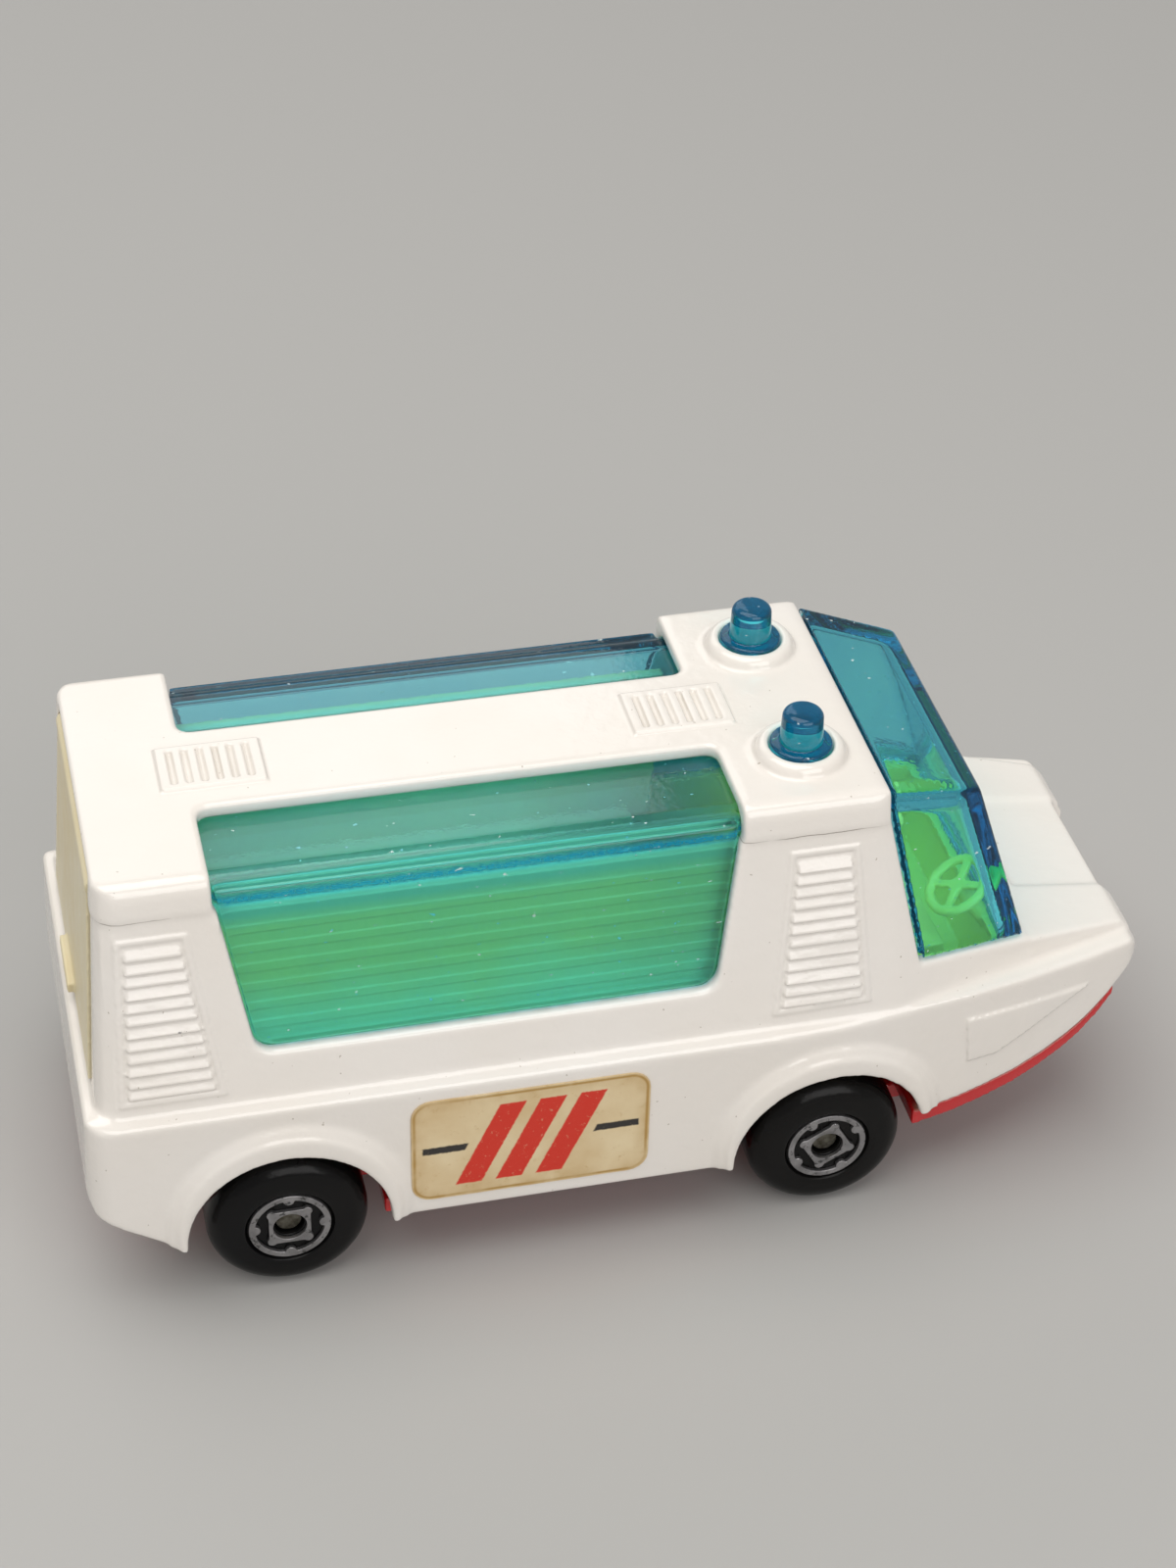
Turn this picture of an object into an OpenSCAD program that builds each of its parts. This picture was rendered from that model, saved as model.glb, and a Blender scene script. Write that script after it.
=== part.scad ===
// Pocket die-cast toy ambulance van: cast shell and base, clear glazing, moulded interior,
// lifting rear door and free-turning wheels.
// Millimetres. +X to the nose, +Y to the vehicle's left, +Z up; origin on the ground under the middle.

/* [Body] */
// Overall length, rear bumper to nose
body_length = 70; // [69:0.5:72]
// Half width of the flat lower sides
half_width = 14.3; // [14:0.1:15]
// Height of the roof's top face
roof_height = 31.66; // [31:0.1:33]
// Height of the outer edge of the belt ledge
belt_height = 15.4; // [15.2:0.1:15.8]
// Height of the sill between the wheels
sill_height = 4.9; // [4.7:0.1:5.1]
// Thickness of the cast walls
wall = 1; // [0.9:0.05:1.1]
// Width of the belt ledge
ledge_width = 0.75; // [0.6:0.05:0.9]
// Half width of the nose at its tip
nose_half = 10; // [9.5:0.1:10.5]
// How far the wheel-arch lips stand out
lip_out = 0.55; // [0.3:0.05:0.7]

/* [Windows] */
// Half width of the roof spine
spine_half = 4; // [3.5:0.1:4.5]
// Height of the main side window's lower edge
window_sill = 19.2; // [18.8:0.1:20]
// How far the side panes lie in from the body's faces
pane_recess = 0.4; // [0.3:0.05:0.5]
// Gap between a pane and its frame
pane_gap = 0.12; // [0.1:0.01:0.2]
// Thickness of the glazing behind the walls
glazing_sheet = 0.7; // [0.6:0.05:0.8]

/* [Roof fittings] */
// Distance of the beacons behind the nose
beacon_x = 23.3; // [23:0.1:24]
// Distance of each beacon from the centre line
beacon_y = 5.9; // [5.5:0.1:6.3]
// Radius of the ring boss round a beacon
boss_radius = 2.9; // [2.7:0.1:3]
// Radius of a beacon's flange
flange_radius = 1.98; // [1.8:0.02:2.1]
// Radius of a beacon's dome
dome_radius = 1.38; // [1.2:0.02:1.5]
// Height of a beacon above the roof
beacon_height = 3.24; // [2.8:0.02:3.6]

/* [Louvres] */
// Slats in each pillar panel
slat_count = 12; // [9:1:13]
// How far a slat stands out at its lower edge
slat_out = 0.32; // [0.2:0.02:0.4]
// Grooves in each roof grille
groove_count = 6; // [4:1:7]

/* [Wheels and axles] */
// Distance between the axles
wheelbase = 35.5; // [35:0.1:36]
// Radius of the wheels
wheel_radius = 5.2; // [5:0.1:5.3]
// Width of the wheels
wheel_width = 4; // [3.6:0.1:4.2]
// Radius of the axle wire
axle_radius = 0.5; // [0.4:0.05:0.6]
// Clearance all round a turning fit
running_gap = 0.05; // [0.03:0.01:0.08]
// Gap between the tyre and the arch
arch_gap = 1.3; // [1.2:0.1:1.4]

/* [Rear door] */
// Thickness of the door panel
door_thickness = 1.2; // [1:0.1:1.3]
// Gap round the door panel
door_gap = 0.2; // [0.15:0.05:0.3]
// Radius of the door's hinge pins
hinge_pin = 0.45; // [0.4:0.05:0.5]

/* [Interior] */
// Height of the interior floor's top face
floor_top = 12.9; // [12.8:0.1:13.4]
// Ribs on each side lining
rib_count = 7; // [5:1:8]
// Radius of the steering wheel's rim
rim_radius = 2.1; // [1.8:0.1:2.3]

/* [Labels] */
// Length of a side label
label_length = 15.4; // [12:0.1:15.6]
// Height of a side label
label_height = 8.4; // [7:0.1:8.6]
// Thickness of a side label
label_thickness = 0.1; // [0.08:0.01:0.15]

/* [Hidden] */
$fn = 48;
// Straight steps in a rounded corner of an outline
arc_steps = 5;
// Size of a block that reaches past the whole toy
far = 100;
// Clearance where a fixed piece is seated
seat_gap = 0.05;
// How far the roof cap and the louvre rims stand out, and the panels behind the nose
cap_out = 0.12;
panel_out = 0.18;
rear_x = -body_length / 2;
nose_x = body_length / 2;
// The rear overhang's share of what the wheelbase leaves of the length
rear_share = 0.3594;
rear_axle_x = rear_x + rear_share * (body_length - wheelbase);
front_axle_x = rear_axle_x + wheelbase;
axle_z = wheel_radius;
arch_radius = wheel_radius + arch_gap;
lip_radius = arch_radius + 1.2;
lip_z = axle_z + 1;
wheel_face = half_width - 0.2;
ledge_top = belt_height + 0.65;
cap_height = roof_height - 2.26;
// Lean of the upper sides, the rear face and the windscreen, as run over rise
side_lean = 0.17;
rear_lean = 0.0766;
screen_lean = 0.319;
// Foot of the windscreen
screen_foot = [nose_x - 8.4, belt_height + 2.4];
screen_top = roof_height - 2.1;
// The upper forms start here, inside the lower body
form_foot = 9;
// Where the roof begins to fall towards the windscreen, and where its front bar ends
roof_break = nose_x - 20;
bar_front = nose_x - 18.8;
hood_top = belt_height + 2.3;
nose_top = belt_height + 1.25;
crease_half = 4.8;
bow_z = sill_height + 1.7;
bow_start = nose_x - 16.2;
bow_steps = 8;
corner_radius = 1.5;
// Main window: lower and upper corners along the body
window_rear = [rear_x + 11.1, rear_x + 9.1];
window_front = [nose_x - 30, nose_x - 28.3];
glass_top = roof_height - wall - seat_gap;
glazing_foot = belt_height + 1.6;
glazing_rear = rear_x + 4.1;
glass_in = wall + seat_gap + glazing_sheet;
floor_low = floor_top - 0.9;
base_low = axle_z - 1.2;
base_top = axle_z;
// The base stays clear of the wheels' inner faces
base_half = wheel_face - wheel_width - 0.8;
door_proud = 0.15;
door_low = ledge_top + 0.35;
hinge_z = roof_height - 1.46;
barrel_radius = door_thickness / 2 + 0.1;
rear_post_x = rear_x + 4.1;
front_post_x = nose_x - 5.8;
post_radius = 1.7;
rear_post_z = base_low + 4.2;
front_post_z = sill_height + 7.3;
rivet_shank = 0.8;
hub_depth = 0.35;
foil_thickness = 0.3;
well_depth = 1.2;
well_radius = 0.95;
// Clips over the axles: length from peg to tip, half width, thickness, peg and its seat
clip_length = 10;
clip_half = 2;
clip_thickness = 0.5;
clip_peg = 0.7;
clip_seat = 1.4;
clip_reach = clip_length - 1.5;
// Height of the slotted cheeks over the axle's middle
cheek_rise = 3;
// Hub foil: outer ring, its lugs, the square ring and its corner studs
foil_radius = 2.64;
foil_band = 0.4;
lug_radius = 0.36;
square_half = 1.35;
square_round = 1.75;
stud_radius = 0.32;
stud_reach = 1.62;
foil_hole = 1.08;
label_corner = 1.3;
rivet_head = 1.4;
rivet_crown = 0.3;
// Depth of a rivet's hole in its post, and of the base under the post
rivet_depth = 3.2;
boss_floor = 2.1;
clip_z = axle_z + axle_radius + running_gap;

function unit(v) = v / norm(v);
function turned(p, angle) =
    [p.x * cos(angle) - p.y * sin(angle), p.x * sin(angle) + p.y * cos(angle)];
function outward(a, b) = unit([b.y - a.y, a.x - b.x]);

// A corner of an outline after both its edges move in by gap
function corner_in(a, b, c, gap) =
    let (n1 = outward(a, b), n2 = outward(b, c))
    b - gap * (n1 + n2) / (1 + n1 * n2);

// An anticlockwise outline with every edge moved in by gap
function step_in(points, gap) =
    let (n = len(points))
    [for (i = [0 : n - 1]) corner_in(points[(i + n - 1) % n], points[i], points[(i + 1) % n], gap)];

// The points of one rounded corner
function arc_corner(a, b, c, r) =
    let (u = unit(a - b), v = unit(c - b), half = acos(u * v) / 2)
    r == 0 ? [b] :
    let (
        centre = b + unit(u + v) * r / sin(half),
        start = b + u * r / tan(half) - centre,
        sweep = (u.y * v.x > u.x * v.y ? 1 : -1) * (180 - 2 * half)
    )
    [for (k = [0 : arc_steps]) centre + turned(start, sweep * k / arc_steps)];

// An outline with a radius at each corner
function rounded(points, radii) =
    let (n = len(points))
    [for (i = [0 : n - 1])
        each arc_corner(points[(i + n - 1) % n], points[i], points[(i + 1) % n], radii[i])];

// Faces of the upper body at a height
function side_at(z) = half_width - ledge_width - side_lean * (z - ledge_top);
function rear_at(z) = rear_x + 1 + rear_lean * (z - ledge_top);
function screen_at(z) = screen_foot.x - screen_lean * (z - screen_foot.y);

door_top_half = side_at(hinge_z) - 2.24;
door_low_half = side_at(door_low) - 3.09;
hinge_x = rear_at(hinge_z) + door_thickness / 2 - door_proud;
// Plane of the cab's side panes, which turn in ahead of the front pillars
cab_z = belt_height + 2.6;
cab_point = [nose_x - 18, side_at(cab_z), cab_z];
cab_normal = unit([0.295, 1, 0.21]);
// Rounding of the upper rear corners, as planes round one axis
side_normal = unit([0, 1, side_lean]);
rear_normal = unit([-1, 0, rear_lean]);
corner_axis = [rear_at(ledge_top), side_at(ledge_top), ledge_top]
    - corner_radius * (side_normal + rear_normal);
function corner_normal(angle) = unit(cos(angle) * side_normal + sin(angle) * rear_normal);

// Outlines, anticlockwise: side views in x and z, plans in x and y, sections in y and z
// Underside of the bow, lowered by drop: a curve from the front arch to its end at the tip
function bow_curve(end, drop) = [for (k = [0 : bow_steps])
    let (t = k / bow_steps)
    pow(1 - t, 2) * [bow_start, bow_z - drop]
    + 2 * t * (1 - t) * [nose_x - 5, bow_z + 1 - drop]
    + t * t * end];
lower_side = concat(
    [
        [rear_x + 0.4, sill_height + 3.3], [rear_axle_x - 7, sill_height],
        [front_axle_x, sill_height], [front_axle_x, bow_z]
    ],
    bow_curve([nose_x - 1.2, belt_height - 2.4], 0),
    [
        [nose_x, belt_height - 1], [nose_x, belt_height - 0.2], [nose_x - 0.8, ledge_top],
        [rear_x + 0.25, ledge_top], [rear_x, sill_height + 4.5]
    ]
);
lower_side_radii = concat(
    [0.4, 1.5, 0, 0],
    [for (k = [0 : bow_steps]) 0],
    [0.3, 0.4, 0, 0, 0.4]
);
taper_start = nose_x - 26;
taper_steps = 6;
lower_half = [for (k = [0 : taper_steps])
    [taper_start + (nose_x - taper_start) * k / taper_steps,
     half_width - (half_width - nose_half) * pow(k / taper_steps, 2)]];
lower_plan = concat(
    [[rear_x, -half_width]],
    [for (p = lower_half) [p.x, -p.y]],
    [for (k = [taper_steps : -1 : 0]) lower_half[k]],
    [[rear_x, half_width]]
);
lower_plan_radii = [for (k = [0 : 2 * taper_steps + 3])
    k == 0 || k == 2 * taper_steps + 3 ? 1.8
    : k == taper_steps + 1 || k == taper_steps + 2 ? 1.6 : 0];
belt_section = [
    [-half_width, 0], [half_width, 0], [half_width, belt_height],
    [half_width - ledge_width, ledge_top], [ledge_width - half_width, ledge_top],
    [-half_width, belt_height]
];
upper_side = [
    [rear_at(form_foot), form_foot], [screen_at(form_foot), form_foot],
    [screen_at(screen_top), screen_top], [roof_break, roof_height],
    [rear_at(roof_height), roof_height]
];
upper_section = [
    [-side_at(form_foot), form_foot], [side_at(form_foot), form_foot],
    [side_at(roof_height), roof_height], [-side_at(roof_height), roof_height]
];
window_side = [
    [window_rear.x, window_sill], [window_front.x, window_sill],
    [window_front.y, roof_height - 1.2], [window_rear.y, roof_height - 1.2]
];
// Everything ahead of the front pillars and above the cab's sill
cab_side = [
    [bar_front + 2.4, belt_height + 3.3], [screen_foot.x - 0.4, screen_foot.y],
    [nose_x + 5, screen_foot.y], [nose_x + 5, roof_height + 5],
    [bar_front, roof_height + 5], [bar_front + 0.05, cap_height + 0.2]
];
rear_louvre = [
    [rear_x + 2.5, ledge_top + 0.7], [rear_x + 9, ledge_top + 0.7],
    [rear_x + 7.4, cap_height - 1.2], [rear_x + 3.1, cap_height - 1.2]
];
front_louvre = [
    [nose_x - 26.3, ledge_top + 0.8], [nose_x - 19.9, ledge_top + 0.9],
    [nose_x - 20.9, cap_height - 1.1], [nose_x - 25.3, cap_height - 1.1]
];
// Line of the plate under the bow, lowered by drop, from back to front
function bow_line(drop) = concat(
    [[front_axle_x, bow_z - drop]],
    bow_curve([nose_x - 1.6, belt_height - 3.05 - 0.6 * drop], drop)
);

module across(half) {
    rotate([90, 0, 0]) linear_extrude(2 * half, center = true) children();
}

module along(x0, x1) {
    translate([x0, 0, 0]) rotate([90, 0, 90]) linear_extrude(x1 - x0) children();
}

module both_sides() {
    children();
    mirror([0, 1, 0]) children();
}

// A large block on the outer side of a plane
module beyond(point, normal) {
    translate(point)
        rotate([0, acos(normal.z), atan2(normal.y, normal.x)])
            translate([-far / 2, -far / 2, 0]) cube(far);
}

module slab(z0, z1) {
    translate([-far / 2, -far / 2, z0]) cube([far, far, z1 - z0]);
}

module box(low, high) {
    translate(low) cube(high - low);
}

// A round bar along Y between two distances from the centre line
module bar_y(x, z, r, y0, y1) {
    translate([x, y0, z]) rotate([-90, 0, 0]) cylinder(h = y1 - y0, r = r);
}

module lower_form(gap) {
    intersection() {
        across(far / 2) polygon(rounded(step_in(lower_side, gap), lower_side_radii));
        linear_extrude(far) polygon(rounded(step_in(lower_plan, gap), lower_plan_radii));
        along(-far / 2, far / 2) polygon(step_in(belt_section, gap));
    }
}

module upper_form(gap) {
    difference() {
        intersection() {
            across(far / 2) polygon(rounded(step_in(upper_side, gap), [0, 0, 0.5, 0, 0.5]));
            along(-far / 2, far / 2) polygon(rounded(step_in(upper_section, gap), [0, 0, 1.2, 1.2]));
        }
        both_sides() {
            beyond(cab_point - gap * cab_normal, cab_normal);
            for (angle = [30, 60])
                beyond(corner_axis + (corner_radius - gap) * corner_normal(angle), corner_normal(angle));
        }
    }
}

module hood_form() {
    tip = nose_x - 0.3;
    rear_half = side_at(hood_top) - 1.17;
    screen_half = rear_half - 1.5;
    intersection() {
        across(far / 2) polygon([
            [screen_foot.x - 6, belt_height - 1], [tip, belt_height - 0.9], [tip, belt_height + 0.5],
            [tip - 0.8, nose_top], [screen_foot.x - 0.4, hood_top], [screen_foot.x - 6, hood_top]
        ]);
        linear_extrude(far) polygon([
            [screen_foot.x - 6, -rear_half], [screen_foot.x, -screen_half], [tip, 1.3 - nose_half],
            [tip, nose_half - 1.3], [screen_foot.x, screen_half], [screen_foot.x - 6, rear_half]
        ]);
    }
}

// Stepped lip round a wheel arch, on both sides
module arch_lip(axle_x) {
    for (ring = [[lip_out / 2, lip_radius], [lip_out, lip_radius - 0.6]])
        intersection() {
            lower_form(-ring.x);
            across(far) polygon(rounded(lower_side, lower_side_radii));
            bar_y(axle_x, lip_z, ring.y, -far / 2, far / 2);
        }
}

// Louvre panel on both pillars of one pair: raised outline and overhanging slats
module louvre(outline) {
    z0 = outline[0].y + 0.5;
    z1 = outline[2].y - 0.5;
    pitch = (z1 - z0) / slat_count;
    teeth = [for (k = [0 : slat_count - 1]) each [
        [side_at(z0 + k * pitch) + slat_out, z0 + k * pitch],
        [side_at(z0 + k * pitch + pitch), z0 + k * pitch + pitch]
    ]];
    intersection() {
        upper_form(-cap_out);
        difference() {
            across(far / 2) polygon(outline);
            across(far) polygon(step_in(outline, 0.3));
        }
    }
    intersection() {
        across(far / 2) polygon(step_in(outline, 0.55));
        both_sides()
            along(outline[0].x, outline[1].x)
                polygon(concat([[side_at(z0) - wall / 2, z0]], teeth, [[side_at(z1) - wall / 2, z1]]));
    }
}

// Raised roof grille with grooves across it
module grille(x0) {
    size = [6.5, 4.34, 0.25];
    pitch = (size.x - 0.8) / groove_count;
    difference() {
        translate([x0, -size.y / 2, roof_height - 0.2]) cube(size + [0, 0, 0.2]);
        for (k = [0 : groove_count - 1])
            translate([x0 + 0.4 + (k + 0.28) * pitch, -1.7, roof_height])
                cube([0.44 * pitch, 3.4, 1]);
    }
}

module beacon_boss() {
    translate([nose_x - beacon_x, beacon_y, roof_height - 0.3]) {
        cylinder(h = 0.75, r = boss_radius);
        translate([0, 0, 0.75]) cylinder(h = 0.4, r1 = boss_radius, r2 = boss_radius - 0.4);
    }
}

module shell_outside() {
    lower_form(0);
    intersection() {
        upper_form(0);
        slab(belt_height - 1, far);
    }
    hood_form();
    intersection() {
        upper_form(-cap_out);
        slab(cap_height, roof_height);
    }
    arch_lip(rear_axle_x);
    arch_lip(front_axle_x);
    louvre(rear_louvre);
    louvre(front_louvre);
    grille(rear_x + 7.3);
    grille(nose_x - 33);
    both_sides() beacon_boss();
    intersection() {
        lower_form(-panel_out);
        across(far / 2) polygon([
            [nose_x - 13, belt_height - 1.5], [nose_x - 12.6, bow_z + 3.7],
            [nose_x - 10.5, bow_z + 3.7], [nose_x - 4, belt_height - 1.7]
        ]);
    }
}

module shell_openings() {
    // Hollow of the lower body, open below
    intersection() {
        translate([0, 0, -1]) linear_extrude(belt_height + 0.5)
            polygon(rounded(step_in(lower_plan, wall), lower_plan_radii));
        box([rear_x + 1.2, -far / 2, -1], [nose_x - 2.4, far / 2, far]);
    }
    intersection() {
        upper_form(wall);
        slab(belt_height - 1, far);
    }
    across(far) polygon(cab_side);
    across(far) polygon(rounded(window_side, [1.2, 1.2, 0, 0]));
    both_sides()
        translate([0, 0, cap_height - 0.1]) linear_extrude(far)
            polygon(rounded([
                [window_rear.y, spine_half], [window_front.y, spine_half],
                [window_front.y, far], [window_rear.y, far]
            ], [0.8, 0.8, 0, 0]));
    for (x = [rear_axle_x, front_axle_x])
        bar_y(x, axle_z, arch_radius, -far / 2, far / 2);
    both_sides()
        translate([nose_x - beacon_x, beacon_y, 0]) cylinder(h = far, r = flange_radius + seat_gap);
    // Sunk middle of the hood and of the nose
    across(crease_half) polygon([
        [screen_foot.x + 1, hood_top - 0.45], [nose_x + 1, nose_top - 0.45],
        [nose_x + 1, hood_top + 1], [screen_foot.x + 1, hood_top + 1]
    ]);
    box([nose_x - 1, -crease_half, 0], [nose_x + 1, crease_half, far]);
    // Doorway and the clear space round the hinge barrel
    along(rear_x - 2, rear_x + 5)
        polygon([
            [-door_low_half, door_low], [door_low_half, door_low],
            [door_top_half, hinge_z], [-door_top_half, hinge_z]
        ]);
    bar_y(hinge_x, hinge_z, barrel_radius + 0.2, -door_top_half, door_top_half);
    box(
        [rear_x - 2, -door_top_half, hinge_z - 0.1],
        [hinge_x, door_top_half, hinge_z + barrel_radius + 0.2]
    );
}

// Posts, hinge lugs and door stop, cast inside the shell
module shell_inside() {
    translate([rear_post_x, 0, rear_post_z]) cylinder(h = floor_low - 0.3 - rear_post_z, r = post_radius);
    box([rear_x + 0.7, -1, rear_post_z + 1.5], [rear_post_x, 1, floor_low - 0.3]);
    translate([front_post_x, 0, front_post_z]) cylinder(h = belt_height - 0.3 - front_post_z, r = post_radius);
    both_sides()
        intersection() {
            upper_form(0.3);
            box(
                [rear_x, door_top_half + 0.1, hinge_z - 1.3],
                [hinge_x + 1.1, door_top_half + 1.6, far]
            );
        }
    stop_x = rear_at(door_low) + door_thickness - door_proud + 0.15;
    box([rear_x + 0.9, -door_low_half + 1, belt_height - 1.4], [stop_x + 0.7, door_low_half - 1, door_low - 0.2]);
    box([stop_x, -door_low_half + 1, belt_height - 1.4], [stop_x + 0.7, door_low_half - 1, door_low + 0.8]);
}

module body_shell() {
    color("white") difference() {
        union() {
            difference() {
                shell_outside();
                shell_openings();
            }
            shell_inside();
        }
        for (post = [[rear_post_x, rear_post_z], [front_post_x, front_post_z]])
            translate([post.x, 0, post.y - 1]) cylinder(h = rivet_depth + 1, r = rivet_shank + seat_gap);
        both_sides()
            bar_y(hinge_x, hinge_z, hinge_pin + running_gap, 0, door_top_half + 1.1);
    }
}

// Where a rivet comes through the base: boss, later bored and sunk for the head
module rivet_boss(x, top) {
    translate([x, 0, top - 2.9]) cylinder(h = 2.85, r = post_radius + 0.6);
}

module baseplate() {
    inner = half_width - wall - 0.4;
    tail = rear_axle_x - 6.4;
    color("red") difference() {
        union() {
            box([tail, -base_half, base_low], [front_axle_x + 7, base_half, base_top]);
            box(
                [rear_axle_x + 6.3, -inner, base_low],
                [front_axle_x - 6.3, inner, base_top]
            );
            // Tail plate, rising inside the rear skirt
            across(base_half) polygon([
                [tail, base_low], [tail + 0.6, base_top], [rear_x + 2, base_top + 2.9],
                [rear_x + 1.6, base_low + 2.9]
            ]);
            // Curved plate under the bow, flush with the sides of the nose
            intersection() {
                across(far / 2) polygon(concat(
                    bow_line(1.3),
                    [for (k = [bow_steps + 1 : -1 : 0]) bow_line(0.1)[k]]
                ));
                linear_extrude(far) polygon(rounded(step_in(lower_plan, 0.25), lower_plan_radii));
                box([front_axle_x + 6, -far / 2, 0], [far, far / 2, far]);
            }
            box([front_axle_x + 5.8, -base_half, base_low], [front_axle_x + 7.2, base_half, bow_z - 0.2]);
            // Cross wall that closes the front arches ahead of the wheels
            box(
                [front_axle_x + arch_radius + 0.1, 1.1 - inner, bow_z - 0.6],
                [front_axle_x + arch_radius + 0.9, inner - 1.1, floor_low - 0.6]
            );
            rivet_boss(rear_post_x, rear_post_z);
            rivet_boss(front_post_x, front_post_z);
            for (x = [rear_axle_x, front_axle_x])
                both_sides()
                    box([x - 2, base_half - 3.8, base_low], [x + 2, base_half - 1.8, axle_z + cheek_rise]);
            // Columns that carry the interior, and pegs for the clips
            for (x = [rear_axle_x + 11, front_axle_x - 11])
                both_sides()
                    translate([x, 7, base_low]) cylinder(h = floor_low - base_low, r = 1.3);
            for (x = [rear_axle_x + clip_reach, front_axle_x - clip_reach])
                translate([x, 0, base_low]) {
                    cylinder(h = clip_z - base_low, r = clip_seat);
                    cylinder(h = clip_z + clip_thickness + 0.6 - base_low, r = clip_peg);
                }
        }
        for (x = [rear_axle_x, front_axle_x])
            box(
                [x - axle_radius - running_gap, -far / 2, axle_z - axle_radius - running_gap],
                [x + axle_radius + running_gap, far / 2, axle_z + cheek_rise + 1]
            );
        for (post = [[rear_post_x, rear_post_z], [front_post_x, front_post_z]])
            translate([post.x, 0, post.y - 10]) {
                cylinder(h = 20, r = rivet_shank + seat_gap);
                cylinder(h = 10 - boss_floor, r = post_radius);
            }
    }
}

module glazing() {
    color([0.1, 0.5, 0.65, 0.5]) difference() {
        union() {
            intersection() {
                upper_form(wall + seat_gap);
                box([glazing_rear, -far / 2, glazing_foot], [far / 2, far / 2, glass_top]);
            }
            intersection() {
                upper_form(pane_recess);
                across(far / 2) polygon(rounded(step_in(window_side, pane_gap), [1.2, 1.2, 0, 0]));
                slab(glazing_foot, glass_top);
            }
            intersection() {
                upper_form(pane_gap);
                across(far / 2) polygon(step_in(cab_side, pane_gap));
            }
        }
        upper_form(glass_in);
        // Open below, behind and under the sills
        box([-far / 2, -far / 2, 0], [far / 2, far / 2, glazing_foot]);
    }
}

// One beacon lens: flange in the boss, then a stepped dome
module beacon(side) {
    height = roof_height + beacon_height - glass_top;
    step = roof_height + 0.95 - glass_top;
    dome = dome_radius * 0.55;
    color([0.05, 0.4, 0.7, 0.6]) translate([nose_x - beacon_x, side * beacon_y, glass_top])
        rotate_extrude() polygon(concat(
            [[0, 0], [flange_radius, 0], [flange_radius, step - 0.2], [flange_radius - 0.2, step]],
            [[dome_radius, step], [dome_radius, height - dome]],
            [for (k = [1 : arc_steps])
                [dome_radius - dome + dome * cos(k * 90 / arc_steps),
                 height - dome + dome * sin(k * 90 / arc_steps)]],
            [[0, height]]
        ));
}

module seat(side) {
    half = 2.5;
    rest_half = 1.2;
    rest_z = roof_height - 6.36;
    translate([bar_front + 0.8, side * (half_width - 8.9), 0]) {
        box([0.6, -half, floor_low], [4.6, half, floor_top + 3.4]);
        box([0, -half, floor_low], [1.6, half, rest_z - 3.4]);
        box([0.1, -rest_half, floor_low], [1.5, rest_half, rest_z]);
        translate([0.1, 0, rest_z]) rotate([0, 90, 0]) cylinder(h = 1.4, r = rest_half);
    }
}

// Four-spoke wheel on a slanted column, on the right-hand side
module steering() {
    rim = 0.32;
    translate([screen_foot.x - 3.7, 8.3 - half_width, screen_foot.y + 1.7]) rotate([0, -35, 0]) {
        rotate_extrude() translate([rim_radius, 0]) circle(rim);
        for (angle = [45, 135])
            rotate([0, 0, angle]) box([-rim_radius, -0.28, -0.2], [rim_radius, 0.28, 0.2]);
        translate([0, 0, -4]) cylinder(h = 4.2, r = 0.6);
    }
}

module interior() {
    inside = glass_in + 0.45;
    lining_top = roof_height - 3.7;
    rib_pitch = (lining_top - glazing_foot - 1.6) / rib_count;
    color([0.93, 0.9, 0.55]) {
        difference() {
            intersection() {
                upper_form(wall + 0.2);
                slab(floor_low, glazing_foot);
            }
            intersection() {
                upper_form(wall + 1.2);
                slab(floor_top, far);
            }
            box([-far / 2, -far / 2, floor_top], [rear_x + 3.4, far / 2, far]);
        }
        // Ribbed side linings behind the main windows
        difference() {
            intersection() {
                union() {
                    upper_form(inside);
                    intersection() {
                        upper_form(inside - 0.25);
                        for (k = [0 : rib_count - 1])
                            slab(glazing_foot + 1.4 + k * rib_pitch, glazing_foot + 1.8 + k * rib_pitch);
                    }
                }
                box([rear_x + 6, -far / 2, floor_low], [window_front.y, far / 2, lining_top]);
            }
            upper_form(inside + 0.8);
        }
        // Benches along both sides
        intersection() {
            upper_form(inside + 0.2);
            both_sides()
                box([rear_x + 7, half_width - 6.3, floor_low], [window_front.x, far / 2, floor_top + 2.6]);
        }
        seat(-1);
        seat(1);
        // Dashboard with a slanted face
        intersection() {
            upper_form(wall + 0.8);
            across(far / 2) polygon([
                [screen_foot.x - 2.6, floor_low], [far / 2, floor_low],
                [far / 2, screen_foot.y - 0.7], [screen_foot.x - 1.6, screen_foot.y - 0.7]
            ]);
        }
        steering();
    }
}

module rear_door() {
    low_half = door_low_half - door_gap;
    top_half = door_top_half - door_gap;
    color([0.96, 0.93, 0.82]) {
        difference() {
            intersection() {
                upper_form(-door_proud);
                along(rear_x - 2, rear_x + 5) polygon([
                    [-low_half, door_low + door_gap], [low_half, door_low + door_gap],
                    [top_half, hinge_z], [-top_half, hinge_z]
                ]);
            }
            upper_form(door_thickness - door_proud);
        }
        bar_y(hinge_x, hinge_z, barrel_radius, -top_half, top_half);
        bar_y(hinge_x, hinge_z, hinge_pin, -door_top_half - 1, door_top_half + 1);
        // Finger ledge on the lower edge
        intersection() {
            upper_form(-door_proud - 0.5);
            box([rear_x - 2, -2.5, door_low + door_gap + 0.5], [rear_x + 1.6, 2.5, door_low + door_gap + 1.2]);
        }
    }
}

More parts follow.
